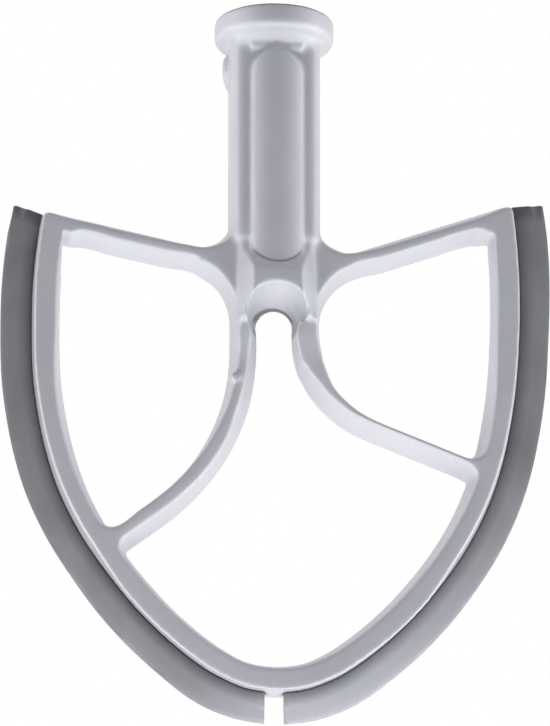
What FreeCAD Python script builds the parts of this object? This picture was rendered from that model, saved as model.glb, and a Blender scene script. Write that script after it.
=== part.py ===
import FreeCAD, Part
import math
import os

# Flex edge beater of a tilt-head stand mixer, in millimetres.
# +Z runs up the stem, the origin is the centre of the socket's mouth, X runs across the width and
# -Y is the front. The parting plane of the casting is Y = 0.

V = FreeCAD.Vector

# Socket, collar and neck
socket_radius = 6.5
socket_depth = 55.0
socket_chamfer = 0.7
collar_radius = 15.45
collar_height = 6.5
collar_rim_chamfer = 0.35
collar_lower_round = 2.1
neck_radius = 13.1
neck_height = 3.6
neck_steps = 4

# Stem: a flattened tube with a proud half-round pad on its front and its back
stem_half_width = 11.45
stem_half_depth = 8.4
stem_corner_radius = 3.4
stem_length = 62.0
pad_half_width = 6.4
pad_crown_radius = 11.2
pad_top_drop = 9.0
pad_length = 59.0
pad_edge_round = 0.5

# Bayonet slot in the socket's wall, and the boss that covers its seat
slot_width = 5.2
slot_wall_radius = 10.2
slot_turn_height = 13.8
slot_entry_angle = 90.0
slot_seat_angle = 158.0
slot_seat_rise = 1.8
boss_reach = 13.1
boss_half_width = 4.4
boss_height = 9.6
boss_round = 1.2

# Rim: three tangent arcs a side, given at the rim's inner edge on the parting plane
rim_inner_bottom = 175.2
nose_radius = 26.2
nose_angle = 36.2
belly_radius = 94.1
belly_angle = 42.7
left_flank_radius = 150.0
right_flank_radius = 188.0
rim_width = 7.6
rim_half_depth = 6.4
rim_inner_draft = 0.38
rim_outer_draft = 0.09

# Arms, bars and legs. Drafts are what a flank draws in for each millimetre of depth.
arm_width = 6.8
arm_draft = 0.34
bar_draft = 0.26
bell_front_draft = 0.29
bell_back_draft = 0.15
left_arm_end_drop = 58.2
left_arm_slope = 12.0
right_arm_end_drop = 53.4
right_arm_slope = 20.0
arm_end_reach = 56.0
arm_stem_fillet = 7.5
arm_leg_fillet = 15.0
rim_corner_fillet = 3.0
rim_top_round = 2.6
leg_outer = 11.6
leg_inner = 4.45
notch_centre_drop = 82.9
left_bar_bend_start = 91.0
left_bar_upper_bend = 53.4
left_bar_lower_bend = 58.3
left_bar_slope = 52.0
right_bar_bend_start = 86.5
right_bar_upper_bend = 24.4
right_bar_lower_bend = 28.0
right_bar_slope = 68.5
bar_corner_fillet = 2.0
ridge_round = 0.75

# Hub: the deep part of the casting, where the stem runs out into the two legs
hub_top_drop = 54.0
hub_lip_start = 62.5
hub_lip_drop = 68.8
hub_lip_depth = 10.3
hub_web_depth = 9.0
hub_web_drop = 71.5
hub_leg_drop = 80.0
hub_leg_depth = 9.4
hub_leg_hollow = 0.5
hub_foot_drop = 108.0
hub_foot_depth = 6.2
hub_reach = 10.6
bar_run_left = 16.0
bar_run_right = 28.0
right_hub_turn = 50.0
left_hub_turn = 30.0

# Flexible edges
groove_depth = 3.0
tongue_half_thickness = 1.3
edge_clearance = 0.08
edge_root_half_thickness = 1.7
edge_root_width = 3.6
edge_lip_half_thickness = 1.1
edge_lip_round = 0.7
edge_width = 7.6
edge_gap = 5.1
left_edge_top_drop = 53.2
right_edge_top_drop = 48.8

# Marks of the ejector pins, on the front
pin_mark_radius = 1.5
pin_mark_depth = 0.35


class Line:
    """Straight stretch of an outline, with the outline's inside on its left."""

    def __init__(self, point, angle, draft=0.0):
        self.point = point
        self.way = (math.cos(math.radians(angle)), math.sin(math.radians(angle)))
        self.draft = draft

    def moved(self, grow):
        px, pz = self.point
        line = Line(self.point, 0.0, self.draft)
        line.way = self.way
        line.point = (px + self.way[1] * grow, pz - self.way[0] * grow)
        return line

    def foot(self, spot):
        along = (spot[0] - self.point[0]) * self.way[0] + (spot[1] - self.point[1]) * self.way[1]
        return (self.point[0] + self.way[0] * along, self.point[1] + self.way[1] * along)


class Round:
    """Circular stretch of an outline. turn is +1 with the inside on the centre's side, else -1."""

    def __init__(self, centre, radius, turn, draft=0.0):
        self.centre = centre
        self.radius = radius
        self.turn = turn
        self.draft = draft

    def moved(self, grow):
        return Round(self.centre, self.radius + self.turn * grow, self.turn, self.draft)

    def foot(self, spot):
        dx = spot[0] - self.centre[0]
        dz = spot[1] - self.centre[1]
        size = self.radius / math.hypot(dx, dz)
        return (self.centre[0] + dx * size, self.centre[1] + dz * size)


def meet(a, b, near):
    """Crossing of two stretches, taken endless, that lies nearest to a point."""
    spots = []
    if isinstance(a, Line) and isinstance(b, Line):
        cross = a.way[0] * b.way[1] - a.way[1] * b.way[0]
        dx = b.point[0] - a.point[0]
        dz = b.point[1] - a.point[1]
        along = (dx * b.way[1] - dz * b.way[0]) / cross
        return (a.point[0] + a.way[0] * along, a.point[1] + a.way[1] * along)
    if isinstance(a, Line) or isinstance(b, Line):
        line, ring = (a, b) if isinstance(a, Line) else (b, a)
        foot = line.foot(ring.centre)
        gap = math.hypot(foot[0] - ring.centre[0], foot[1] - ring.centre[1])
        half = math.sqrt(ring.radius ** 2 - gap ** 2)
        for side in (-1, 1):
            spots.append((foot[0] + line.way[0] * half * side, foot[1] + line.way[1] * half * side))
    else:
        dx = b.centre[0] - a.centre[0]
        dz = b.centre[1] - a.centre[1]
        gap = math.hypot(dx, dz)
        along = (a.radius ** 2 - b.radius ** 2 + gap ** 2) / (2 * gap)
        half = math.sqrt(a.radius ** 2 - along ** 2)
        for side in (-1, 1):
            spots.append((a.centre[0] + (dx * along - dz * half * side) / gap,
                          a.centre[1] + (dz * along + dx * half * side) / gap))
    return min(spots, key=lambda spot: math.dist(spot, near))


def touch(a, b):
    """Point where two tangent stretches run into each other."""
    if isinstance(a, Line):
        return a.foot(b.centre)
    if isinstance(b, Line):
        return b.foot(a.centre)
    larger, smaller = (a, b) if a.radius > b.radius else (b, a)
    return larger.foot(smaller.centre)


def arc_between(centre, radius, start, end, turn, y):
    """Edge round a centre, counter-clockwise seen from the front where turn is positive."""
    first = math.atan2(start[1] - centre[1], start[0] - centre[0])
    last = math.atan2(end[1] - centre[1], end[0] - centre[0])
    swept = (last - first) % (2 * math.pi)
    if turn < 0:
        swept -= 2 * math.pi
    middle = first + swept / 2
    top = V(centre[0] + radius * math.cos(middle), y, centre[1] + radius * math.sin(middle))
    return Part.Arc(V(start[0], y, start[1]), top, V(end[0], y, end[1])).toShape()


def outline(stretches, corners, y):
    """Closed wire at y, each stretch moved inwards by its draft at that depth.

    corners[i] joins stretch i to the next one: None where they are tangent, else the corner's
    radius on the parting plane, negative in a hollow corner, and a point near it.
    """
    depth = abs(y)
    moved = [stretch.moved(-stretch.draft * depth) for stretch in stretches]
    joints = []
    for i, corner in enumerate(corners):
        a = moved[i]
        b = moved[(i + 1) % len(moved)]
        if corner is None:
            spot = touch(a, b)
            joints.append((spot, spot, None, 0.0))
            continue
        radius, near = corner
        drawn_in = (stretches[i].draft + stretches[(i + 1) % len(moved)].draft) / 2 * depth
        if radius:
            radius = radius - drawn_in
        centre = meet(a.moved(-radius), b.moved(-radius), near)
        joints.append((a.foot(centre), b.foot(centre), centre, radius))
    edges = []
    for i, stretch in enumerate(moved):
        start = joints[i - 1][1]
        end, leave, centre, radius = joints[i]
        if isinstance(stretch, Line):
            edges.append(Part.LineSegment(V(start[0], y, start[1]), V(end[0], y, end[1])).toShape())
        else:
            edges.append(arc_between(stretch.centre, stretch.radius, start, end, stretch.turn, y))
        if radius:
            edges.append(arc_between(centre, abs(radius), end, leave, radius, y))
    return Part.Wire(edges)


def drafted(front, back, corners, half_depth):
    """Solid from an outline that draws in from the parting plane to both faces."""
    wires = [outline(front, corners, -half_depth), outline(front, corners, 0.0),
             outline(back, corners, half_depth)]
    return Part.makeLoft(wires, True, True)


def polar(centre, radius, angle):
    return (centre[0] + radius * math.cos(math.radians(angle)),
            centre[1] + radius * math.sin(math.radians(angle)))


# Centres of the rim's arcs on the right, and the angle at which each one hands over
nose_centre = (0.0, nose_radius - rim_inner_bottom)
nose_end = nose_angle - 90
belly_centre = polar(nose_centre, nose_radius - belly_radius, nose_end)
belly_end = nose_end + belly_angle
flanks = {side: (polar(belly_centre, belly_radius - radius, belly_end), radius)
          for side, radius in ((1, right_flank_radius), (-1, left_flank_radius))}


def rim_arcs(side, offset, turn, draft):
    """The rim's belly and flank on one side, moved outwards from its inner edge."""
    return [Round((side * centre[0], centre[1]), radius + offset, turn, draft)
            for centre, radius in ((belly_centre, belly_radius), flanks[side])]


def arm_edge(side, edge, heading_in, draft):
    """Edge of an arm, above its middle line where edge is +1 and below it where it is -1."""
    drop, slope = ((left_arm_end_drop, left_arm_slope) if side < 0
                   else (right_arm_end_drop, right_arm_slope))
    lift = edge * arm_width / 2 / math.cos(math.radians(slope))
    angle = side * slope + (180 if (side > 0) == heading_in else 0)
    return Line((side * arm_end_reach, lift - drop), angle, draft)


# The bends of the two lower bars: where the bend starts, its radii above and below, and the
# angle from the vertical at which the bar then runs on
bends = {1: (right_bar_bend_start, right_bar_upper_bend, right_bar_lower_bend, right_bar_slope),
         -1: (left_bar_bend_start, left_bar_upper_bend, left_bar_lower_bend, left_bar_slope)}


def bend_centre(side, upper):
    start, upper_radius, lower_radius, slope = bends[side]
    reach = leg_outer + upper_radius if upper else leg_inner + lower_radius
    return (side * reach, -start)


def bar_edge(side, upper, draft):
    """Straight edge and bend of a lower bar, in the order that goes round its window."""
    start, upper_radius, lower_radius, slope = bends[side]
    centre = bend_centre(side, upper)
    radius = upper_radius if upper else lower_radius
    bend_end = 180 + slope if side > 0 else -slope
    heading = -90 + side * slope
    away = (side > 0) == upper
    line = Line(polar(centre, radius, bend_end), heading if away else heading + 180, draft)
    bend = Round(centre, radius, 1 if upper else -1, draft)
    return [bend, line] if away else [line, bend]


def bar_foot(side):
    """Point near the spot where a lower bar runs into the rim."""
    start, radius, lower_radius, slope = bends[side]
    bend_end = polar(bend_centre(side, True), radius, 180 + slope if side > 0 else -slope)
    run = bar_run_right if side > 0 else bar_run_left
    return (bend_end[0] + side * run * math.sin(math.radians(slope)),
            bend_end[1] - run * math.cos(math.radians(slope)))


def corner_near(side):
    """Point near the upper corner of the rim on one side."""
    return (side * arm_end_reach, -(left_arm_end_drop if side < 0 else right_arm_end_drop))


def rim_and_arms():
    """The flat part of the casting: a drafted outline with three drafted windows."""
    nose = Round(nose_centre, nose_radius + rim_width, 1, rim_outer_draft)
    right = rim_arcs(1, rim_width, 1, rim_outer_draft)
    left = rim_arcs(-1, rim_width, 1, rim_outer_draft)
    stretches = ([nose] + right
                 + [arm_edge(1, 1, True, arm_draft),
                    Line((stem_half_width, 0.0), 90, arm_draft),
                    Line((0.0, -hub_top_drop + 8.0), 180),
                    Line((-stem_half_width, 0.0), -90, arm_draft),
                    arm_edge(-1, 1, False, arm_draft)]
                 + left[::-1])
    stem_foot = -left_arm_end_drop
    corners = [None, None, (rim_top_round, corner_near(1)),
               (-arm_stem_fillet, (stem_half_width, stem_foot)),
               (0.0, (stem_half_width, -hub_top_drop)),
               (0.0, (-stem_half_width, -hub_top_drop)),
               (-arm_stem_fillet, (-stem_half_width, stem_foot)),
               (rim_top_round, corner_near(-1)), None, None]
    solid = drafted(stretches, stretches, corners, rim_half_depth)

    # Upper windows, between an arm, the leg and its bar, and the rim
    belly, flank = rim_arcs(1, 0.0, 1, -rim_inner_draft)
    bend, line = bar_edge(1, True, -bar_draft)
    right_window = [belly, flank, arm_edge(1, -1, True, -arm_draft),
                    Line((leg_outer, 0.0), -90, -bar_draft), bend, line]
    right_corners = [None, (rim_corner_fillet, corner_near(1)),
                     (arm_leg_fillet, (leg_outer, stem_foot)), None, None,
                     (bar_corner_fillet, bar_foot(1))]
    belly, flank = rim_arcs(-1, 0.0, 1, -rim_inner_draft)
    line, bend = bar_edge(-1, True, -bar_draft)
    left_window = [flank, belly, line, bend, Line((-leg_outer, 0.0), 90, -bar_draft),
                   arm_edge(-1, -1, False, -arm_draft)]
    left_corners = [None, (bar_corner_fillet, bar_foot(-1)), None, None,
                    (arm_leg_fillet, (-leg_outer, stem_foot)),
                    (rim_corner_fillet, corner_near(-1))]

    # Lower window, with the notch that parts the legs as its top, belled towards the front
    def low_window(draft):
        right_line, right_bend = bar_edge(1, False, -draft)
        left_bend, left_line = bar_edge(-1, False, -draft)
        return [Round(nose_centre, nose_radius, 1, -rim_inner_draft),
                rim_arcs(1, 0.0, 1, -rim_inner_draft)[0], right_line, right_bend,
                Line((leg_inner, 0.0), 90, -draft),
                Round((0.0, -notch_centre_drop), leg_inner, 1, -draft),
                Line((-leg_inner, 0.0), -90, -draft), left_bend, left_line,
                rim_arcs(-1, 0.0, 1, -rim_inner_draft)[0]]
    low_corners = [None, (bar_corner_fillet, bar_foot(1)), None, None, None, None, None, None,
                   (bar_corner_fillet, bar_foot(-1)), None]
    for front, back, window_corners in (
            (right_window, right_window, right_corners), (left_window, left_window, left_corners),
            (low_window(bell_front_draft), low_window(bell_back_draft), low_corners)):
        solid = solid.cut(drafted(front, back, window_corners, rim_half_depth + 0.5))
    # The rim's outer edges stay crisp beside the flexible edges; all others are rounded
    outer_wires = [outline(stretches, corners, y) for y in (-rim_half_depth, rim_half_depth)]
    ridge_edges = [edge for edge in solid.Edges
                   if all(abs(abs(vertex.Y) - rim_half_depth) < 1e-6 for vertex in edge.Vertexes)
                   and min(edge.distToShape(wire)[0] for wire in outer_wires) > 0.01]
    return solid.makeFillet(ridge_round, ridge_edges)


def rounded_box_wire(half_width, half_depth, radius, height):
    """Outline of the stem at a height: a rectangle with round corners."""
    edges = []
    spots = ((half_width, -half_depth), (half_width, half_depth), (-half_width, half_depth),
             (-half_width, -half_depth))
    for i, (x, y) in enumerate(spots):
        inner_x = x - math.copysign(radius, x)
        inner_y = y - math.copysign(radius, y)
        before = V(x, inner_y, height) if i % 2 == 1 else V(inner_x, y, height)
        after = V(inner_x, y, height) if i % 2 == 1 else V(x, inner_y, height)
        bulge = radius * math.sqrt(0.5)
        middle = V(inner_x + math.copysign(bulge, x), inner_y + math.copysign(bulge, y), height)
        edges.append(Part.Arc(before, middle, after).toShape())
    joined = []
    for i, edge in enumerate(edges):
        following = edges[(i + 1) % 4]
        joined.append(edge)
        joined.append(Part.LineSegment(edge.Vertexes[-1].Point, following.Vertexes[0].Point).toShape())
    return Part.Wire(joined)


def stem_and_collar():
    """Collar, the neck that flares down from it, and the flattened stem."""
    collar = Part.makeCylinder(collar_radius, collar_height, V(0, 0, -collar_height))
    rings = [edge for edge in collar.Edges if len(edge.Vertexes) == 1
             and isinstance(edge.Curve, Part.Circle)]
    collar = collar.makeChamfer(collar_rim_chamfer, [e for e in rings if e.BoundBox.ZMin > -1e-6])
    rings = [edge for edge in collar.Edges if len(edge.Vertexes) == 1
             and edge.BoundBox.ZMax < 1e-6 - collar_height]
    collar = collar.makeFillet(collar_lower_round, rings)
    wires = []
    for step in range(neck_steps + 1):
        share = step / neck_steps
        flare = 1 - math.sin(math.pi / 2 * share)
        width = stem_half_width + (neck_radius - stem_half_width) * flare
        depth = stem_half_depth + (neck_radius - stem_half_depth) * flare
        corner = stem_corner_radius + (neck_radius - stem_corner_radius) * flare
        corner = min(corner, width - 0.05, depth - 0.05)
        wires.append(rounded_box_wire(width, depth, corner, -collar_height - neck_height * share))
    neck = Part.makeLoft(wires, True, False)
    shaft_top = collar_height + neck_height
    section = rounded_box_wire(stem_half_width, stem_half_depth, stem_corner_radius, -shaft_top)
    shaft = Part.Face(section).extrude(V(0, 0, shaft_top - stem_length))
    return collar, neck, shaft


def pad():
    """Half-round pad through the whole stem, proud of its front and its back."""
    high = -pad_top_drop - pad_half_width
    low = -pad_top_drop - pad_length + pad_half_width
    edges = [
        Part.LineSegment(V(pad_half_width, -20, low), V(pad_half_width, -20, high)).toShape(),
        arc_between((0.0, high), pad_half_width, (pad_half_width, high), (-pad_half_width, high),
                    1, -20),
        Part.LineSegment(V(-pad_half_width, -20, high), V(-pad_half_width, -20, low)).toShape(),
        arc_between((0.0, low), pad_half_width, (-pad_half_width, low), (pad_half_width, low),
                    1, -20)]
    pill = Part.Face(Part.Wire(edges)).extrude(V(0, 40, 0))
    crown = Part.makeCylinder(pad_crown_radius, pad_length + 2, V(0, 0, low - pad_half_width - 1))
    proud = pill.common(crown)
    rim = [edge for edge in proud.Edges if edge.BoundBox.YMax < 0 or edge.BoundBox.YMin > 0]
    return proud.makeFillet(pad_edge_round, rim)


def hub():
    """Deep middle of the casting: two legs with a belled notch, under a sloping side profile."""
    def stretches(inner_draft):
        return [
            Line(bend_centre(1, True), right_hub_turn),
            Round(bend_centre(1, True), right_bar_upper_bend, -1, bar_draft),
            Line((leg_outer, 0.0), 90, bar_draft),
            Line((0.0, -hub_top_drop), 180),
            Line((-leg_outer, 0.0), -90, bar_draft),
            Round(bend_centre(-1, True), left_bar_upper_bend, -1, bar_draft),
            Line(bend_centre(-1, True), -left_hub_turn),
            Round(bend_centre(-1, False), left_bar_lower_bend, 1, inner_draft),
            Line((-leg_inner, 0.0), 90, inner_draft),
            Round((0.0, -notch_centre_drop), leg_inner, -1, inner_draft),
            Line((leg_inner, 0.0), -90, inner_draft),
            Round(bend_centre(1, False), right_bar_lower_bend, 1, inner_draft)]
    right_foot = polar(bend_centre(1, True), right_bar_upper_bend, 180 + right_hub_turn)
    left_foot = polar(bend_centre(-1, True), left_bar_upper_bend, -left_hub_turn)
    corners = [(0.0, right_foot), None, (0.0, (leg_outer, -hub_top_drop)),
               (0.0, (-leg_outer, -hub_top_drop)), None, (0.0, left_foot), (0.0, left_foot),
               None, None, None, None, (0.0, right_foot)]
    deep = drafted(stretches(bell_front_draft), stretches(bell_back_draft), corners, hub_reach)

    # Side profile: out of the stem's floor to the lip, back to the web, then down to the bars
    def side(sign):
        return [V(-40, sign * depth, -drop) for drop, depth in (
            (hub_top_drop - 1, stem_half_depth - 0.4), (hub_lip_start, stem_half_depth - 0.2),
            (hub_lip_drop, hub_lip_depth), (hub_web_drop, hub_web_depth),
            (hub_leg_drop, hub_leg_depth))]
    front = side(-1)
    back = side(1)
    foot = -hub_foot_drop
    low = -hub_foot_drop - 20
    middle_drop = (hub_leg_drop + hub_foot_drop) / 2
    sag = (hub_leg_depth + hub_foot_depth) / 2 - hub_leg_hollow
    edges = [Part.LineSegment(a, b).toShape() for a, b in zip(front, front[1:])]
    edges.append(Part.Arc(front[-1], V(-40, -sag, -middle_drop),
                          V(-40, -hub_foot_depth, foot)).toShape())
    edges += [Part.LineSegment(a, b).toShape() for a, b in (
        (V(-40, -hub_foot_depth, foot), V(-40, -hub_foot_depth, low)),
        (V(-40, -hub_foot_depth, low), V(-40, hub_foot_depth, low)),
        (V(-40, hub_foot_depth, low), V(-40, hub_foot_depth, foot)))]
    edges.append(Part.Arc(V(-40, hub_foot_depth, foot), V(-40, sag, -middle_drop),
                          back[-1]).toShape())
    edges += [Part.LineSegment(b, a).toShape() for a, b in
              reversed(list(zip(back, back[1:])))]
    edges.append(Part.LineSegment(back[0], front[0]).toShape())
    profile = Part.Face(Part.Wire(edges)).extrude(V(80, 0, 0))
    return deep.common(profile)


def wedge(inner, outer, low, high, start, sweep):
    """Part of a ring round the stem's axis, from an angle seen from above."""
    corners = [V(inner, 0, low), V(outer, 0, low), V(outer, 0, high), V(inner, 0, high)]
    face = Part.Face(Part.makePolygon(corners + corners[:1]))
    ring = face.revolve(V(0, 0, 0), V(0, 0, 1), sweep)
    ring.rotate(V(0, 0, 0), V(0, 0, 1), start)
    return ring


def channel(low, high, angle):
    """Straight-sided channel in the socket's wall, at an angle seen from above."""
    box = Part.makeBox(slot_wall_radius, slot_width, high - low, V(0, -slot_width / 2, low))
    wall = Part.makeCylinder(slot_wall_radius, high - low, V(0, 0, low))
    cut = box.common(wall)
    cut.rotate(V(0, 0, 0), V(0, 0, 1), angle)
    return cut


def slot_and_boss():
    """Bayonet slot inside the socket's wall, and the boss outside its seat."""
    low = -slot_turn_height - slot_width / 2
    high = -slot_turn_height + slot_width / 2
    turn = wedge(socket_radius / 2, slot_wall_radius, low, high, slot_entry_angle,
                 slot_seat_angle - slot_entry_angle)
    slot = turn.fuse([channel(low, 1, slot_entry_angle),
                      channel(low, high + slot_seat_rise, slot_seat_angle)])
    straight = boss_height / 2 - boss_half_width
    middle = -slot_turn_height
    edges = [
        Part.LineSegment(V(0, -boss_half_width, middle + straight),
                         V(0, -boss_half_width, middle - straight)).toShape(),
        Part.Arc(V(0, -boss_half_width, middle - straight),
                 V(0, 0, middle - boss_height / 2),
                 V(0, boss_half_width, middle - straight)).toShape(),
        Part.LineSegment(V(0, boss_half_width, middle - straight),
                         V(0, boss_half_width, middle + straight)).toShape(),
        Part.Arc(V(0, boss_half_width, middle + straight),
                 V(0, 0, middle + boss_height / 2),
                 V(0, -boss_half_width, middle + straight)).toShape()]
    boss = Part.Face(Part.Wire(edges)).extrude(V(boss_reach, 0, 0))
    tip = [edge for edge in boss.Edges if edge.BoundBox.XMin > boss_reach - 1e-3]
    boss = boss.makeFillet(boss_round, tip)
    boss.rotate(V(0, 0, 0), V(0, 0, 1), slot_seat_angle)
    return slot, boss


def rim_ring(points, start_offset, side, top_drop):
    """A section carried along the rim's outer edge from the bottom up to a height on one side.

    The section's points are (outwards from the rim's outer edge, towards the back).
    """
    flank_centre, flank_radius = flanks[side]
    top = math.degrees(math.asin((-top_drop - flank_centre[1])
                                 / (flank_radius + rim_width)))
    pieces = []
    for centre, radius, start, end in (
            (nose_centre, nose_radius, -90.0, nose_end),
            (belly_centre, belly_radius, nose_end, belly_end),
            (flank_centre, flank_radius, belly_end, top)):
        edge_radius = radius + rim_width
        corners = [V(edge_radius + across, back, 0) for across, back in points]
        face = Part.Face(Part.makePolygon(corners + corners[:1]))
        piece = face.revolve(V(0, 0, 0), V(0, -1, 0), end - start)
        piece.rotate(V(0, 0, 0), V(0, -1, 0), start)
        piece.translate(V(centre[0], 0, centre[1]))
        pieces.append(piece)
    ring = pieces[0].fuse(pieces[1:]).removeSplitter()
    ring = ring.cut(Part.makeBox(start_offset + 50, 60, 60, V(-50, -30, -220)))
    if side < 0:
        ring = ring.mirror(V(0, 0, 0), V(1, 0, 0))
    return ring


def edge_section(clearance=0.0):
    """Section of a flexible edge: tongue, thick root, step and thin lip."""
    tongue = tongue_half_thickness
    root = edge_root_half_thickness
    lip = edge_lip_half_thickness
    upper = [(edge_clearance - groove_depth, tongue - edge_clearance),
             (edge_clearance, tongue - edge_clearance), (edge_clearance, root),
             (edge_root_width, root), (edge_root_width + 2 * (root - lip), lip),
             (edge_width - edge_lip_round, lip), (edge_width, lip - edge_lip_round)]
    return upper + [(across, -back) for across, back in reversed(upper)]


def pin_mark(x, z):
    return Part.makeCylinder(pin_mark_radius, 4.0, V(x, -rim_half_depth + pin_mark_depth, z),
                             V(0, -1, 0))


def show(shape, name):
    print(name, shape.ShapeType, shape.isValid(), len(shape.Solids), round(shape.Volume, 1),
          [round(v, 2) for v in (shape.BoundBox.XMin, shape.BoundBox.XMax, shape.BoundBox.YMin,
                                 shape.BoundBox.YMax, shape.BoundBox.ZMin, shape.BoundBox.ZMax)])


os.makedirs("parts", exist_ok=True)
plate = rim_and_arms()
show(plate, "plate")
collar, neck, shaft = stem_and_collar()
show(collar, "collar")
show(neck, "neck")
show(shaft, "shaft")
pads = pad()
show(pads, "pads")
middle = hub()
show(middle, "hub")
slot, boss = slot_and_boss()
show(slot, "slot")
show(boss, "boss")
body = plate.fuse([middle, shaft, neck, collar, pads, boss])
show(body, "fused")
socket = Part.makeCylinder(socket_radius, socket_depth, V(0, 0, -socket_depth))
mouth = Part.makeCone(socket_radius, socket_radius + socket_chamfer + 0.2, socket_chamfer + 0.2,
                      V(0, 0, -socket_chamfer))
body = body.cut(socket.fuse([mouth, slot]))
groove = [(-groove_depth, tongue_half_thickness), (1.0, tongue_half_thickness),
          (1.0, -tongue_half_thickness), (-groove_depth, -tongue_half_thickness)]
for side, name, top_drop in ((-1, "flex_edge_left", left_edge_top_drop),
                             (1, "flex_edge_right", right_edge_top_drop)):
    body = body.cut(rim_ring(groove, edge_gap / 2 - edge_clearance, side, top_drop - 1))
    edge = rim_ring(edge_section(), edge_gap / 2, side, top_drop)
    show(edge, name)
    edge.exportStep("parts/" + name + ".step")
show(body, "body")
body.exportStep("parts/beater_body.step")
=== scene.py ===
import math
import bpy
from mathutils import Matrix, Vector


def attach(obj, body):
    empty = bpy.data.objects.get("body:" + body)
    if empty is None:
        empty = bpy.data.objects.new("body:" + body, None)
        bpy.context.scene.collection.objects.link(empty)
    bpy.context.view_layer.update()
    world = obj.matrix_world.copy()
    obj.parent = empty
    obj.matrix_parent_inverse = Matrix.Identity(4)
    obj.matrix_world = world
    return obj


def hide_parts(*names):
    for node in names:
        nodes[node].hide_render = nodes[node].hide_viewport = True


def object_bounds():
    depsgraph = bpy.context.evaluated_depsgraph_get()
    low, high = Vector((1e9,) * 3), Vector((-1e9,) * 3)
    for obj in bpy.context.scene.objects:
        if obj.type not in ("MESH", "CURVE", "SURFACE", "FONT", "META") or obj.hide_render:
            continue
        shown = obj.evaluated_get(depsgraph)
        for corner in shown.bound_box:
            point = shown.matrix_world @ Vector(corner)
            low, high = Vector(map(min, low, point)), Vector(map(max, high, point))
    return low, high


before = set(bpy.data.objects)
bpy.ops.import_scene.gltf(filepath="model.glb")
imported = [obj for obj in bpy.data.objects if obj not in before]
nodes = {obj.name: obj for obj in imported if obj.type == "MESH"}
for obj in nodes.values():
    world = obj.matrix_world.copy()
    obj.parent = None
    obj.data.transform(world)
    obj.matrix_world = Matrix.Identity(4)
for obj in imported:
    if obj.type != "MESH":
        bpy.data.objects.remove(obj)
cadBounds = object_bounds()
mm = 0.001
print("frame loaded:", sorted(nodes))


# ---- helpers for pieces

def pickOnly(piece):
    bpy.ops.object.select_all(action="DESELECT")
    piece.select_set(True)
    bpy.context.view_layer.objects.active = piece


def mergedCopy(node, name):
    # the CAD node stays as it is; its copy gets its loose triangles joined
    piece = nodes[node].copy()
    piece.data = nodes[node].data.copy()
    piece.name = name
    piece.data.name = name
    piece.parent = None
    bpy.context.scene.collection.objects.link(piece)
    piece.data.materials.clear()
    pickOnly(piece)
    bpy.ops.object.mode_set(mode="EDIT")
    bpy.ops.mesh.select_all(action="SELECT")
    bpy.ops.mesh.remove_doubles(threshold=0.002 * mm)
    bpy.ops.object.mode_set(mode="OBJECT")
    return piece


def applyModifier(piece, kind, name, **settings):
    modifier = piece.modifiers.new(name, kind)
    for key, value in settings.items():
        setattr(modifier, key, value)
    pickOnly(piece)
    bpy.ops.object.modifier_apply(modifier=name)


def ringSolid(name, rings):
    # closed piece between rings of as many points each, in millimetres
    points = [(x * mm, y * mm, z * mm) for ring in rings for x, y, z in ring]
    count = len(rings[0])
    faces = [tuple(range(count))[::-1]]
    for level in range(len(rings) - 1):
        for i in range(count):
            j = (i + 1) % count
            low = level * count
            faces.append((low + i, low + j, low + count + j, low + count + i))
    faces.append(tuple(range((len(rings) - 1) * count, len(rings) * count)))
    mesh = bpy.data.meshes.new(name)
    mesh.from_pydata(points, [], faces)
    piece = bpy.data.objects.new(name, mesh)
    bpy.context.scene.collection.objects.link(piece)
    pickOnly(piece)
    bpy.ops.object.mode_set(mode="EDIT")
    bpy.ops.mesh.select_all(action="SELECT")
    bpy.ops.mesh.normals_make_consistent(inside=False)
    bpy.ops.object.mode_set(mode="OBJECT")
    return piece


def cutWith(piece, tool):
    applyModifier(piece, "BOOLEAN", "cut", operation="DIFFERENCE", solver="EXACT", object=tool)


def addPiece(piece, extra):
    pickOnly(piece)
    extra.select_set(True)
    bpy.ops.object.join()


def disc(radius, centre, y, count=48):
    x, z = centre
    return [(x + radius * math.cos(2 * math.pi * i / count), y,
             z + radius * math.sin(2 * math.pi * i / count)) for i in range(count)]


def softStep(low, high, value):
    t = min(max((value - low) / (high - low), 0.0), 1.0)
    return t * t * (3 - 2 * t)


# ---- material helpers

def newMaterial(name):
    material = bpy.data.materials.new(name)
    material.use_nodes = True
    tree = material.node_tree
    tree.nodes.clear()
    out = tree.nodes.new("ShaderNodeOutputMaterial")
    shader = tree.nodes.new("ShaderNodeBsdfPrincipled")
    tree.links.new(shader.outputs["BSDF"], out.inputs["Surface"])
    return material, tree, shader


def addNode(tree, kind, **settings):
    node = tree.nodes.new(kind)
    for key, value in settings.items():
        if key in node.inputs:
            node.inputs[key].default_value = value
        else:
            setattr(node, key, value)
    return node


def newGroup(name, inputs, outputs):
    group = bpy.data.node_groups.new(name, "ShaderNodeTree")
    for label, kind, value in inputs:
        socket = group.interface.new_socket(name=label, in_out="INPUT", socket_type=kind)
        socket.default_value = value
    for label, kind in outputs:
        group.interface.new_socket(name=label, in_out="OUTPUT", socket_type=kind)
    return group, group.nodes.new("NodeGroupInput"), group.nodes.new("NodeGroupOutput")


def placeGroup(tree, group, **values):
    node = tree.nodes.new("ShaderNodeGroup")
    node.node_tree = group
    for label, value in values.items():
        node.inputs[label].default_value = value
    return node


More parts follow.
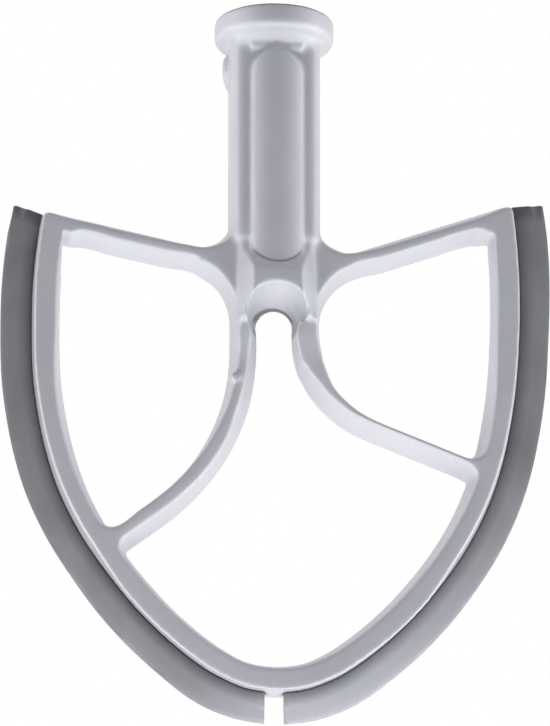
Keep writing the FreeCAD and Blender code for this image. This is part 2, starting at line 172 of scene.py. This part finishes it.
# fine grain of a sprayed coat or a moulded surface: height for a bump, and masks for colour
def makeFineGrain():
    group, given, made = newGroup(
        "fineGrain",
        [("Grain", "NodeSocketFloat", 1400.0), ("Mottle", "NodeSocketFloat", 60.0)],
        [("Height", "NodeSocketFloat"), ("Speck", "NodeSocketFloat"), ("Mottle", "NodeSocketFloat")])
    links = group.links
    place = group.nodes.new("ShaderNodeTexCoord")
    grain = addNode(group, "ShaderNodeTexNoise", Detail=3.0, Roughness=0.6)
    links.new(place.outputs["Object"], grain.inputs["Vector"])
    links.new(given.outputs["Grain"], grain.inputs["Scale"])
    speck = addNode(group, "ShaderNodeTexVoronoi", feature="F1")
    links.new(place.outputs["Object"], speck.inputs["Vector"])
    links.new(given.outputs["Grain"], speck.inputs["Scale"])
    speckMask = addNode(group, "ShaderNodeMapRange")
    speckMask.inputs["From Min"].default_value = 0.05
    speckMask.inputs["From Max"].default_value = 0.3
    speckMask.inputs["To Min"].default_value = 1.0
    speckMask.inputs["To Max"].default_value = 0.0
    links.new(speck.outputs["Distance"], speckMask.inputs["Value"])
    mottle = addNode(group, "ShaderNodeTexNoise", Detail=4.0, Roughness=0.55)
    links.new(place.outputs["Object"], mottle.inputs["Vector"])
    links.new(given.outputs["Mottle"], mottle.inputs["Scale"])
    spread = addNode(group, "ShaderNodeMapRange")
    spread.inputs["From Min"].default_value = 0.35
    spread.inputs["From Max"].default_value = 0.65
    links.new(mottle.outputs["Fac"], spread.inputs["Value"])
    links.new(grain.outputs["Fac"], made.inputs["Height"])
    links.new(speckMask.outputs["Result"], made.inputs["Speck"])
    links.new(spread.outputs["Result"], made.inputs["Mottle"])
    return group


fineGrain = makeFineGrain()


# ---- cast body: one coated casting, with the soft blends of a die casting

castBody = {
    "voxel": 0.42 * mm,
    "facesKept": 190000,
    "evenPasses": 12,
    "blendPasses": 18,
    # soft blends where ribs run together: x, y, z, reach in mm and share
    "blends": [(0, 0, -66, 22, 0.45), (0, 0, -94, 12, 0.8), (0, 0, -9, 5, 0.2),
               (-10, -7, -63, 8, 1.0), (10, -7, -63, 8, 1.0),
               (-10, 7, -63, 8, 1.0), (10, 7, -63, 8, 1.0),
               (-7.9, -8.3, -84.8, 3.6, 1.0), (7.9, -8.3, -84.8, 3.6, 1.0),
               (-7.9, 8.3, -84.8, 3.6, 1.0), (7.9, 8.3, -84.8, 3.6, 1.0)],
    "crisp": (0, -84, 6.9),
    # ribs are pinched to narrow ridges: points of their middle line on the parting plane
    "ribs": [
        [(-60, -59.1), (-21, -67.4)],
        [(60, -51.9), (21, -66.1)],
        [(-8.0, -88), (-9.2, -97), (-13.0, -108), (-19.5, -118.5), (-28.5, -128), (-40, -137)],
        [(11.5, -98), (13.9, -101.5), (20.5, -107.5), (28, -111.3), (52, -120.8)],
    ],
    "pinch": 0.26,
    # the first two ribs keep wider ridges: part of the pinch
    "armPinch": -0.35,
    # ridges of the first two ribs lie lower than their middle lines
    "ridgeDrop": 0.75,
    # flat round marks of the ejector pins on the front: x, z and depth
    "pins": [(-18.9, -67.6, 6.0), (19.2, -67.4, 6.0), (-10.4, -99.6, 6.9), (-54.3, -59.0, 6.0),
             (53.4, -54.9, 6.0)],
    "pinRadius": 1.3,
    # the rim's inner edge: centre in x and z and radius of its arc on the left and on the right
    "rimFlanks": {-1: (-94.95, -83.4, 150.0), 1: (-132.2, -76.1, 188.0)},
    # how far the rim's face spreads outwards at the bottom, in front and behind
    "faceSpread": (1.2, -1.2),
    # bend outwards at half height and inwards below
    "bendLeft": (0.45, 0.6),
    "bendRight": (0.22, 0.35),
    # corners of the upper windows on the parting plane: corner, point on the arm, point on the rim
    "corners": [[(-55.4, -63.0), (-46, -65.0), (-55.2, -72)], [(55.6, -58.9), (46, -62.4), (55.9, -68)]],
    "cornerRise": (2.2, 4.3),
    "cornerSpread": 0.6,
}

# wedge-shaped block in the hub, cut off below by the belled mouth of the notch, in mm
hubBlock = {
    "riseStart": -63.8,
    "riseEnd": -71.3,
    "fallStart": -79,
    "baseDepth": 7.2,
    "depth": 12.0,
    "footDepth": 9.1,
    "baseHalf": 9.7,
    "topHalf": 6.3,
    "flatDepth": 7.2,
    "archCentre": -83.9,
    "throat": 4.4,
    "throatShift": (-0.3, -0.3),
    "ledge": 1.2,
    "frontDraft": 0.25,
    "backDraft": 0.45,
    "padHalf": 6.4,
    "padCrown": 11.2,
    "padEnd": -72.6,
    # the stem runs out under the block: height, half width, half depth and corner radius
    "stemEnd": [(-58, 11.2, 8.2, 3.3), (-63, 10.9, 7.9, 3.2), (-68, 10.2, 7.3, 3.0),
                (-74, 9.4, 6.8, 3.0), (-80, 8.6, 6.3, 2.8)],
}


def bellCutter(name, radius, draft, way):
    length = hubBlock["depth"] + 1
    centre = (0, hubBlock["archCentre"])
    return ringSolid(name, [disc(radius, centre, 0.0),
                            disc(radius + draft * length, centre, way * length)])


def roundedRing(z, halfWidth, halfDepth, radius, count=6):
    ring = []
    for corner, (sx, sy) in enumerate(((1, 1), (-1, 1), (-1, -1), (1, -1))):
        for i in range(count + 1):
            a = math.pi / 2 * (corner + i / count)
            ring.append((sx * (halfWidth - radius) + radius * math.cos(a),
                         sy * (halfDepth - radius) + radius * math.sin(a), z))
    return ring


def makeHubBlock():
    size = hubBlock
    half = size["baseHalf"]

    def ring(z, depth):
        # section of the block at a height: a trapezoid on its front and on its back
        share = (depth - size["baseDepth"]) / (size["depth"] - size["baseDepth"])
        top = half + (size["topHalf"] - half) * max(share, 0.0)
        front = [(half, 0, z), (half, -min(depth, size["baseDepth"]), z), (top, -depth, z),
                 (-top, -depth, z), (-half, -min(depth, size["baseDepth"]), z), (-half, 0, z)]
        return front + [(x, -y, z) for x, y, z in front[4:0:-1]]
    rise = (size["depth"] - size["baseDepth"]) / (size["riseStart"] - size["riseEnd"])
    block = ringSolid("hubBlock", [
        ring(size["riseStart"] + 1 / rise, size["baseDepth"] - 1),
        ring(size["riseEnd"], size["depth"]), ring(size["fallStart"], size["depth"]),
        ring(size["archCentre"], size["footDepth"])])
    span = math.degrees(math.asin(size["padHalf"] / size["padCrown"]))
    arc = [math.radians(span * (i / 8 - 1)) for i in range(17)]
    section = [(size["padCrown"] * math.sin(a), -size["padCrown"] * math.cos(a)) for a in arc]
    section += [(x, -y) for x, y in section[::-1]]
    foot = ringSolid("padFoot", [[(x, y, z) for x, y in section] for z in (-58.0, size["padEnd"])])
    addPiece(block, foot)
    addPiece(block, ringSolid("stemEnd", [roundedRing(*level) for level in size["stemEnd"]]))
    return block


def bellTheNotch(piece):
    throat = hubBlock["throat"]
    length = hubBlock["depth"] + 1
    centre = (hubBlock["throatShift"][0], hubBlock["archCentre"] + hubBlock["throatShift"][1])
    tools = [bellCutter("frontBell", throat + hubBlock["ledge"], hubBlock["frontDraft"], -1),
             bellCutter("backBell", throat, hubBlock["backDraft"], 1),
             ringSolid("throat", [disc(throat, centre, -length), disc(throat, centre, length)])]
    for tool in tools:
        cutWith(piece, tool)
        bpy.data.objects.remove(tool)


def nearestOnRib(rib, x, z):
    # signed offset from a rib's middle line, its direction there, and the share of the way along
    best = None
    for (ax, az), (bx, bz) in zip(rib, rib[1:]):
        dx, dz = bx - ax, bz - az
        length = math.hypot(dx, dz)
        t = min(max(((x - ax) * dx + (z - az) * dz) / length ** 2, 0.0), 1.0)
        offX, offZ = x - ax - t * dx, z - az - t * dz
        away = math.hypot(offX, offZ)
        if best is None or away < best[0]:
            best = (away, offX, offZ)
    return best


def pinchRibs(piece):
    for vertex in piece.data.vertices:
        x, y, z = vertex.co / mm
        if abs(y) < 0.5 or z > -50 or abs(x) < 6:
            continue
        for rib in castBody["ribs"]:
            away, offX, offZ = nearestOnRib(rib, x, z)
            if away > 5.5:
                continue
            ends = min(math.dist((x, z), rib[0]), math.dist((x, z), rib[-1]))
            share = castBody["pinch"] * min(abs(y) / 6.4, 1.0) ** 1.5
            share *= softStep(0, 6, ends) * (1 - softStep(3.6, 5.5, away))
            if castBody["ribs"].index(rib) < 2:
                share *= castBody["armPinch"]
            vertex.co.x -= offX * share * mm
            vertex.co.z -= offZ * share * mm
            if castBody["ribs"].index(rib) < 2:
                drop = castBody["ridgeDrop"] * min(abs(y) / 6.4, 1.0)
                vertex.co.z -= drop * softStep(0, 8, ends) * (1 - softStep(3.6, 5.5, away)) * mm
            break


def widenRimFace(piece):
    # the rim's inner flank is steeper near the arms than below
    for vertex in piece.data.vertices:
        x, y, z = vertex.co / mm
        if abs(x) < 44 or not -112 < z < -57:
            continue
        side = 1 if x > 0 else -1
        centreX, centreZ, radius = castBody["rimFlanks"][side]
        inner = centreX + math.sqrt(radius ** 2 - (z - centreZ) ** 2)
        share = 1 - softStep(2.0, 5.5, abs(x) - inner)
        share *= softStep(-112, -84, z) * (1 - softStep(-62, -57, z))
        vertex.co.x -= side * 0.2 * abs(y) * share * mm


def cutCorners(piece):
    for corner in castBody["corners"]:
        side = 1 if corner[0][0] > 0 else -1
        rings = []
        for y in (-7.5, 0.0, 7.5):
            rise = castBody["cornerRise"][0 if y < 0 else 1] * abs(y) / 6.4
            spread = side * castBody["cornerSpread"] * abs(y) / 6.4
            (cx, cz), (ax, az), (rx, rz) = corner
            rings.append([(cx + spread, y, cz + rise), (ax, y, az + 0.4 * rise), (rx + spread, y, rz)])
        tool = ringSolid("corner", rings)
        cutWith(piece, tool)
        bpy.data.objects.remove(tool)


def bendRim(piece):
    # the rim and its strips bend out a little at half height and in below
    for vertex in piece.data.vertices:
        x, y, z = vertex.co / mm
        radius = math.hypot(x, z + 95)
        bend = castBody["bendLeft"] if x < 0 else castBody["bendRight"]
        push = bend[0] * softStep(84, 104, -z) * (1 - softStep(128, 146, -z))
        push -= bend[1] * softStep(140, 156, -z) * (1 - softStep(176, 190, -z))
        push *= softStep(44, 54, radius) * softStep(6, 14, abs(x))
        vertex.co.x += push * x / radius * mm
        vertex.co.z += push * (z + 95) / radius * mm


def spreadRimFace(piece):
    # toward the bottom the rim's front face is wider and its back narrower
    low = [vertex for vertex in piece.data.vertices if vertex.co.z < -145 * mm]
    top = max(abs(vertex.co.y) for vertex in low) / mm
    reach = {}
    spots = []
    for vertex in low:
        x, y, z = vertex.co / mm
        radius = math.hypot(x, z + 95)
        turn = round(math.degrees(math.atan2(x, -95 - z)) / 2)
        spots.append((vertex, turn, radius))
        if abs(y) > top - 0.6:
            inner, outer = reach.get(turn, (radius, radius))
            reach[turn] = (min(inner, radius), max(outer, radius))
    for vertex, turn, radius in spots:
        x, y, z = vertex.co / mm
        if turn not in reach or abs(y) < 3:
            continue
        inner, outer = reach[turn]
        share = softStep((inner + outer) / 2, outer, radius) * (abs(y) - 3) / (top - 3)
        push = castBody["faceSpread"][0 if y < 0 else 1] * share * softStep(145, 160, -z)
        vertex.co.x += push * x / radius * mm
        vertex.co.z += push * (z + 95) / radius * mm


def addPins(piece):
    for x, z, depth in castBody["pins"]:
        radius = castBody["pinRadius"]
        addPiece(piece, ringSolid("pin", [disc(radius, (x, z), -depth, 24),
                                          disc(radius, (x, z), -1.0, 24)]))


def shapeStem(piece):
    # the pad's top sits lower than the collar's foot, and the shoulders beside the block are flat
    size = hubBlock
    for vertex in piece.data.vertices:
        x, y, z = vertex.co / mm
        depth = abs(y)
        if depth > 8.55 and abs(x) < 6.9 and -22 < z < -8.5:
            vertex.co.z -= 1.4 * (1 - softStep(11, 22, -z)) * mm
        if -94 < z < -58 and size["topHalf"] < abs(x) < 11.6 and depth > size["flatDepth"]:
            side = (size["baseHalf"] - abs(x)) / (size["baseHalf"] - size["topHalf"])
            most = size["baseDepth"] + side * (size["depth"] - size["baseDepth"])
            most = max(most, size["flatDepth"] + 1.3 * (1 - softStep(58, 68, -z)))
            most = max(most, size["flatDepth"] + 2.6 * softStep(78, 94, -z))
            vertex.co.y = math.copysign(min(depth, most), y) * mm
        if 4 < abs(x) < 11 and -96 < z < -83.4:
            rise = 1 + 0.22 * softStep(-96, -84, z)
            vertex.co.y = math.copysign(max(depth, min(depth * rise, 8.8)), y) * mm
        if x < -11.2 and -24 < z < -5:
            vertex.co.z += 1.4 * softStep(5, 8, -z) * (1 - softStep(17, 24, -z)) * mm
        if y < -1 and 8 < x < 16 and -104 < z < -79:
            share = softStep(-104, -93, z) * (1 - softStep(-85, -79, z)) * softStep(8, 10, x)
            vertex.co.x += 0.2 * (depth - 1) * share * mm
        if y < -1 and 4 < x < 11 and -112 < z < -84:
            share = softStep(-112, -96, z) * (1 - softStep(7.5, 11, x))
            vertex.co.x -= 0.26 * (depth - 1) * share * mm


def makeCastBody():
    piece = mergedCopy("beater_body", "castBody")
    addPiece(piece, makeHubBlock())
    applyModifier(piece, "REMESH", "fill", mode="VOXEL", voxel_size=castBody["voxel"], adaptivity=0.0)
    bellTheNotch(piece)
    cutCorners(piece)
    pinchRibs(piece)
    widenRimFace(piece)
    shapeStem(piece)
    addPins(piece)
    spreadRimFace(piece)
    bendRim(piece)
    applyModifier(piece, "REMESH", "skin", mode="VOXEL", voxel_size=castBody["voxel"], adaptivity=0.0)
    soft = piece.vertex_groups.new(name="soft")
    plain = piece.vertex_groups.new(name="plain")
    for vertex in piece.data.vertices:
        share = 0.0
        for x, y, z, reach, most in castBody["blends"]:
            away = (vertex.co / mm - Vector((x, y, z))).length
            share = max(share, most * (1 - softStep(reach * 0.55, reach, away)))
        crispX, crispZ, crispReach = castBody["crisp"]
        away = math.dist((vertex.co.x / mm, vertex.co.z / mm), (crispX, crispZ))
        rest = softStep(crispReach, crispReach + 3, away)
        share *= 0.1 + 0.9 * rest
        plain.add([vertex.index], 0.35 + 0.65 * rest, "REPLACE")
        if share > 0:
            soft.add([vertex.index], share, "REPLACE")
    applyModifier(piece, "SMOOTH", "even", factor=0.5, iterations=castBody["evenPasses"],
                  vertex_group="plain")
    applyModifier(piece, "SMOOTH", "blend", factor=0.5, iterations=castBody["blendPasses"],
                  vertex_group="soft")
    triangles = sum(len(face.vertices) - 2 for face in piece.data.polygons)
    print("cast body triangles before thinning:", triangles)
    if triangles > castBody["facesKept"]:
        applyModifier(piece, "DECIMATE", "thin", ratio=castBody["facesKept"] / triangles)
    piece.data.polygons.foreach_set("use_smooth", [True] * len(piece.data.polygons))
    return piece


coatLook = {
    "colour": (0.600, 0.604, 0.640, 1),
    "worn": (0.520, 0.524, 0.560, 1),
    "metallic": 0.66,
    "roughness": (0.52, 0.62),
    "grain": 1500.0,
    "mottle": 45.0,
    "bump": 0.40,
    "bareMetal": (0.155, 0.157, 0.168, 1),
    "bareDepth": 0.55 * mm,
    # painted shade in the crease below the pad: centre of its arc in x and z, radius, half width
    "paintedCreaseShade": (0.0, -62.6 * mm, 7.0 * mm, 0.55 * mm),
    "paintedShadeTone": (0.300, 0.303, 0.330, 1),
    # painted shade on the ledge in the notch: centre in x and z, reach
    "ledge": (-0.3 * mm, -84.2 * mm, 5.5 * mm),
}


def makeCoat():
    material, tree, shader = newMaterial("satinCastCoat")
    links = tree.links
    grain = placeGroup(tree, fineGrain, Grain=coatLook["grain"], Mottle=coatLook["mottle"])
    tone = addNode(tree, "ShaderNodeMix", data_type="RGBA")
    tone.inputs["A"].default_value = coatLook["worn"]
    tone.inputs["B"].default_value = coatLook["colour"]
    blendSpeck = addNode(tree, "ShaderNodeMath", operation="MULTIPLY_ADD")
    blendSpeck.inputs[1].default_value = -0.7
    blendSpeck.inputs[2].default_value = 1.0
    links.new(grain.outputs["Speck"], blendSpeck.inputs[0])
    links.new(blendSpeck.outputs["Value"], tone.inputs["Factor"])
    place = tree.nodes.new("ShaderNodeTexCoord")
    apart = tree.nodes.new("ShaderNodeSeparateXYZ")
    links.new(place.outputs["Object"], apart.inputs["Vector"])
    bare = addNode(tree, "ShaderNodeMapRange")
    bare.inputs["From Min"].default_value = -coatLook["bareDepth"] - 0.1 * mm
    bare.inputs["From Max"].default_value = -coatLook["bareDepth"] + 0.1 * mm
    links.new(apart.outputs["Z"], bare.inputs["Value"])
    paint = addNode(tree, "ShaderNodeMix", data_type="RGBA")
    paint.inputs["B"].default_value = coatLook["bareMetal"]
    links.new(tone.outputs["Result"], paint.inputs["A"])
    links.new(bare.outputs["Result"], paint.inputs["Factor"])
    # painted shade: a dark arc along the crease below the pad, only below a height
    creaseX, creaseZ, creaseRadius, creaseHalf = coatLook["paintedCreaseShade"]
    aside = addNode(tree, "ShaderNodeVectorMath", operation="MULTIPLY")
    aside.inputs[1].default_value = (1, 0, 1)
    links.new(place.outputs["Object"], aside.inputs[0])
    fromArc = addNode(tree, "ShaderNodeVectorMath", operation="DISTANCE")
    fromArc.inputs[1].default_value = (creaseX, 0, creaseZ)
    links.new(aside.outputs["Vector"], fromArc.inputs[0])
    offArc = addNode(tree, "ShaderNodeMath", operation="SUBTRACT")
    offArc.inputs[1].default_value = creaseRadius
    links.new(fromArc.outputs["Value"], offArc.inputs[0])
    sized = addNode(tree, "ShaderNodeMath", operation="ABSOLUTE")
    links.new(offArc.outputs["Value"], sized.inputs[0])
    line = addNode(tree, "ShaderNodeMapRange", interpolation_type="SMOOTHSTEP")
    line.inputs["From Max"].default_value = creaseHalf
    line.inputs["To Min"].default_value = 1.0
    line.inputs["To Max"].default_value = 0.0
    links.new(sized.outputs["Value"], line.inputs["Value"])
    lower = addNode(tree, "ShaderNodeMapRange", interpolation_type="SMOOTHSTEP")
    lower.inputs["From Min"].default_value = -64.5 * mm
    lower.inputs["From Max"].default_value = -67.5 * mm
    links.new(apart.outputs["Z"], lower.inputs["Value"])
    paintedCreaseShade = addNode(tree, "ShaderNodeMath", operation="MULTIPLY")
    links.new(line.outputs["Result"], paintedCreaseShade.inputs[0])
    links.new(lower.outputs["Result"], paintedCreaseShade.inputs[1])
    # painted shade on the ledge in the notch: darker within the reach of the throat's centre and above a
    # height
    fromThroat = addNode(tree, "ShaderNodeVectorMath", operation="DISTANCE")
    fromThroat.inputs[1].default_value = (coatLook["ledge"][0], 0, coatLook["ledge"][1])
    links.new(aside.outputs["Vector"], fromThroat.inputs[0])
    ledge = addNode(tree, "ShaderNodeMapRange", interpolation_type="SMOOTHSTEP")
    ledge.inputs["From Min"].default_value = coatLook["ledge"][2]
    ledge.inputs["From Max"].default_value = coatLook["ledge"][2] + 0.3 * mm
    ledge.inputs["To Min"].default_value = 1.0
    ledge.inputs["To Max"].default_value = 0.0
    links.new(fromThroat.outputs["Value"], ledge.inputs["Value"])
    overhead = addNode(tree, "ShaderNodeMapRange", interpolation_type="SMOOTHSTEP")
    overhead.inputs["From Min"].default_value = -83.6 * mm
    overhead.inputs["From Max"].default_value = -81.4 * mm
    links.new(apart.outputs["Z"], overhead.inputs["Value"])
    shaded = addNode(tree, "ShaderNodeMath", operation="MULTIPLY")
    links.new(ledge.outputs["Result"], shaded.inputs[0])
    links.new(overhead.outputs["Result"], shaded.inputs[1])
    either = addNode(tree, "ShaderNodeMath", operation="MAXIMUM")
    links.new(paintedCreaseShade.outputs["Value"], either.inputs[0])
    links.new(shaded.outputs["Value"], either.inputs[1])
    # painted shade: the crease and the notch's ledge are mixed toward the dark shade tone
    withPaintedShade = addNode(tree, "ShaderNodeMix", data_type="RGBA")
    withPaintedShade.inputs["B"].default_value = coatLook["paintedShadeTone"]
    links.new(paint.outputs["Result"], withPaintedShade.inputs["A"])
    links.new(either.outputs["Value"], withPaintedShade.inputs["Factor"])
    links.new(withPaintedShade.outputs["Result"], shader.inputs["Base Color"])
    rough = addNode(tree, "ShaderNodeMapRange")
    rough.inputs["To Min"].default_value = coatLook["roughness"][0]
    rough.inputs["To Max"].default_value = coatLook["roughness"][1]
    links.new(grain.outputs["Mottle"], rough.inputs["Value"])
    links.new(rough.outputs["Result"], shader.inputs["Roughness"])
    bump = addNode(tree, "ShaderNodeBump", Strength=coatLook["bump"], Distance=0.05 * mm)
    links.new(grain.outputs["Height"], bump.inputs["Height"])
    links.new(bump.outputs["Normal"], shader.inputs["Normal"])
    shader.inputs["Metallic"].default_value = coatLook["metallic"]
    return material


body = makeCastBody()
body.data.materials.append(makeCoat())
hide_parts("beater_body")
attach(body, "root")
print("cast body done")


# ---- flexible edges: two strips of soft grey elastomer in the rim's groove

edgeLook = {
    "colour": (0.140, 0.142, 0.150, 1),
    "bloom": (0.214, 0.216, 0.227, 1),
    "paintedSheen": (0.330, 0.332, 0.365, 1),
    # painted sheen grows down the right strip: from and to, as a height
    "paintedSheenFrom": -0.118,
    "paintedSheenTo": -0.186,
    "roughness": (0.50, 0.62),
    "grain": 2200.0,
    "mottle": 70.0,
    "bump": 0.12,
}


def makeElastomer():
    material, tree, shader = newMaterial("greyElastomer")
    links = tree.links
    grain = placeGroup(tree, fineGrain, Grain=edgeLook["grain"], Mottle=edgeLook["mottle"])
    tone = addNode(tree, "ShaderNodeMix", data_type="RGBA")
    tone.inputs["A"].default_value = edgeLook["colour"]
    tone.inputs["B"].default_value = edgeLook["bloom"]
    share = addNode(tree, "ShaderNodeMath", operation="MULTIPLY")
    share.inputs[1].default_value = 0.35
    links.new(grain.outputs["Mottle"], share.inputs[0])
    links.new(share.outputs["Value"], tone.inputs["Factor"])
    place = tree.nodes.new("ShaderNodeTexCoord")
    apart = tree.nodes.new("ShaderNodeSeparateXYZ")
    links.new(place.outputs["Object"], apart.inputs["Vector"])
    # painted sheen: the strips are lighter toward the bottom, the right one fully and the left one at 0.22
    # of it
    down = addNode(tree, "ShaderNodeMapRange")
    down.inputs["From Min"].default_value = edgeLook["paintedSheenFrom"]
    down.inputs["From Max"].default_value = edgeLook["paintedSheenTo"]
    links.new(apart.outputs["Z"], down.inputs["Value"])
    across = addNode(tree, "ShaderNodeMapRange", interpolation_type="SMOOTHSTEP")
    across.inputs["From Min"].default_value = -0.03
    across.inputs["From Max"].default_value = 0.01
    across.inputs["To Min"].default_value = 0.22
    links.new(apart.outputs["X"], across.inputs["Value"])
    paintedSheenShare = addNode(tree, "ShaderNodeMath", operation="MULTIPLY")
    links.new(down.outputs["Result"], paintedSheenShare.inputs[0])
    links.new(across.outputs["Result"], paintedSheenShare.inputs[1])
    withPaintedSheen = addNode(tree, "ShaderNodeMix", data_type="RGBA")
    withPaintedSheen.inputs["B"].default_value = edgeLook["paintedSheen"]
    links.new(tone.outputs["Result"], withPaintedSheen.inputs["A"])
    links.new(paintedSheenShare.outputs["Value"], withPaintedSheen.inputs["Factor"])
    links.new(withPaintedSheen.outputs["Result"], shader.inputs["Base Color"])
    rough = addNode(tree, "ShaderNodeMapRange")
    rough.inputs["To Min"].default_value = edgeLook["roughness"][0]
    rough.inputs["To Max"].default_value = edgeLook["roughness"][1]
    links.new(grain.outputs["Mottle"], rough.inputs["Value"])
    links.new(rough.outputs["Result"], shader.inputs["Roughness"])
    bump = addNode(tree, "ShaderNodeBump", Strength=edgeLook["bump"], Distance=0.04 * mm)
    links.new(grain.outputs["Height"], bump.inputs["Height"])
    links.new(bump.outputs["Normal"], shader.inputs["Normal"])
    return material


def trimStripTop(strip, side):
    # the strips' top ends are cut at a slant; the right one flares out a little
    for vertex in strip.data.vertices:
        x, y, z = vertex.co / mm
        if side == "left" and z > -58:
            vertex.co.z -= (1.25 + 1.35 * min(max((x + 66.3) / 7.5, 0.0), 1.7)) * mm
        if side == "right":
            if z > -52:
                vertex.co.z -= 0.35 * mm
            vertex.co.x += 0.65 * softStep(-88, -56, z) * softStep(60, 66, x) * mm


elastomer = makeElastomer()
for side in ("left", "right"):
    node = "flex_edge_" + side
    strip = mergedCopy(node, "flexEdge" + side.capitalize())
    trimStripTop(strip, side)
    bendRim(strip)
    pickOnly(strip)
    bpy.ops.object.shade_smooth_by_angle(angle=math.radians(35))
    strip.data.materials.append(elastomer)
    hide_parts(node)
    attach(strip, "root")
print("flexible edges done")


# ---- floor, light and camera

floorLook = {"width": 2.4, "colour": (0.86, 0.86, 0.86, 1), "below": 0.0}


def makeFloor():
    bpy.ops.object.select_all(action="DESELECT")
    low = cadBounds[0]
    bpy.ops.mesh.primitive_plane_add(size=floorLook["width"], location=(0, 0, low[2] - floorLook["below"]))
    floor = bpy.context.active_object
    floor.name = "floor"
    material, tree, shader = newMaterial("paleFloor")
    shader.inputs["Base Color"].default_value = floorLook["colour"]
    shader.inputs["Roughness"].default_value = 0.8
    # the floor is clear from below, lets the fill light through and is the white tent to glossy rays
    clear = tree.nodes.new("ShaderNodeBsdfTransparent")
    mix = tree.nodes.new("ShaderNodeMixShader")
    path = tree.nodes.new("ShaderNodeLightPath")
    side = tree.nodes.new("ShaderNodeNewGeometry")
    either = addNode(tree, "ShaderNodeMath", operation="MAXIMUM")
    any3 = addNode(tree, "ShaderNodeMath", operation="MAXIMUM")
    out = next(node for node in tree.nodes if node.type == "OUTPUT_MATERIAL")
    tree.links.new(path.outputs["Is Shadow Ray"], either.inputs[0])
    tree.links.new(side.outputs["Backfacing"], either.inputs[1])
    tree.links.new(either.outputs["Value"], any3.inputs[0])
    tree.links.new(path.outputs["Is Glossy Ray"], any3.inputs[1])
    tree.links.new(any3.outputs["Value"], mix.inputs["Fac"])
    tree.links.new(shader.outputs["BSDF"], mix.inputs[1])
    tree.links.new(clear.outputs["BSDF"], mix.inputs[2])
    tree.links.new(mix.outputs["Shader"], out.inputs["Surface"])
    floor.data.materials.append(material)


makeFloor()

studioLook = {
    "front": (0.122, 0.128, 0.150),
    "around": (1.09, 1.09, 1.10),
    "darkTowards": (0.0, -0.94, 0.34),
    "darkEdge": (-0.87, -0.26),
}


def makeWorld():
    # a white tent with a darker opening on the front side
    world = bpy.data.worlds.new("studio")
    bpy.context.scene.world = world
    world.use_nodes = True
    tree = world.node_tree
    tree.nodes.clear()
    links = tree.links
    place = tree.nodes.new("ShaderNodeTexCoord")
    facing = addNode(tree, "ShaderNodeVectorMath", operation="DOT_PRODUCT")
    facing.inputs[1].default_value = [-part for part in studioLook["darkTowards"]]
    links.new(place.outputs["Generated"], facing.inputs[0])
    turn = addNode(tree, "ShaderNodeMapRange", interpolation_type="SMOOTHSTEP")
    turn.inputs["From Min"].default_value = studioLook["darkEdge"][0]
    turn.inputs["From Max"].default_value = studioLook["darkEdge"][1]
    links.new(facing.outputs["Value"], turn.inputs["Value"])
    tent = addNode(tree, "ShaderNodeMix", data_type="RGBA")
    tent.inputs["A"].default_value = (*studioLook["front"], 1)
    tent.inputs["B"].default_value = (*studioLook["around"], 1)
    links.new(turn.outputs["Result"], tent.inputs["Factor"])
    path = tree.nodes.new("ShaderNodeLightPath")
    seen = addNode(tree, "ShaderNodeMix", data_type="RGBA")
    seen.inputs["B"].default_value = (1, 1, 1, 1)
    links.new(tent.outputs["Result"], seen.inputs["A"])
    links.new(path.outputs["Is Camera Ray"], seen.inputs["Factor"])
    back = tree.nodes.new("ShaderNodeBackground")
    links.new(seen.outputs["Result"], back.inputs["Color"])
    out = tree.nodes.new("ShaderNodeOutputWorld")
    links.new(back.outputs["Background"], out.inputs["Surface"])


makeWorld()

# place, point aimed at, width, height, power in watts, colour
lamps = {
    "fillBelow": ((0.0, -0.30, -0.80), (0, 0, -0.1), 0.8, 0.6, 11.0, (1.0, 1.0, 1.0)),
    "sideLeft": ((-0.75, -0.18, -0.25), (0, 0, -0.1), 0.6, 0.9, 1.6, (1.0, 1.0, 1.0)),
    "sideRight": ((0.75, -0.18, -0.35), (0, 0, -0.1), 0.6, 0.9, 2.2, (1.0, 1.0, 1.0)),
}
for name, (spot, aim, width, height, power, colour) in lamps.items():
    light = bpy.data.lights.new(name, "AREA")
    light.shape = "RECTANGLE"
    light.size = width
    light.size_y = height
    light.energy = power
    light.color = colour
    lamp = bpy.data.objects.new(name, light)
    lamp.location = spot
    lamp.rotation_euler = (Vector(aim) - Vector(spot)).to_track_quat("-Z", "Y").to_euler()
    lamp.visible_camera = False
    lamp.visible_glossy = name != "fillBelow"  # no hard glints on the lower ridges
    bpy.context.scene.collection.objects.link(lamp)

cameraSet = {
    "azimuth": -5.5,
    "elevation": -20.0,
    "distance": 2.5,
    "aim": (0, 0, -0.095),
    "aimPixel": (274.0, 369.0),
    "pixelsPerMetre": 3908.0,
}


def makeCamera():
    imageWidth, imageHeight, sensor = 550, 726, 36.0
    a = math.radians(cameraSet["azimuth"])
    e = math.radians(cameraSet["elevation"])
    back = Vector((math.sin(a) * math.cos(e), -math.cos(a) * math.cos(e), math.sin(e)))
    right = Vector((math.cos(a), math.sin(a), 0))
    up = back.cross(right)
    aimX, aimY = cameraSet["aimPixel"]
    centre = Vector(cameraSet["aim"])
    centre += right * ((imageWidth / 2 - aimX) / cameraSet["pixelsPerMetre"])
    centre -= up * ((imageHeight / 2 - aimY) / cameraSet["pixelsPerMetre"])
    data = bpy.data.cameras.new("camera")
    data.sensor_width = sensor
    data.lens = sensor * cameraSet["pixelsPerMetre"] * cameraSet["distance"] / imageHeight
    data.clip_end = 50
    camera = bpy.data.objects.new("camera", data)
    camera.location = centre + back * cameraSet["distance"]
    camera.rotation_euler = (-back).to_track_quat("-Z", "Y").to_euler()
    bpy.context.scene.collection.objects.link(camera)
    bpy.context.scene.camera = camera


makeCamera()
bpy.context.scene.view_settings.view_transform = "Standard"
print("floor, light and camera done")
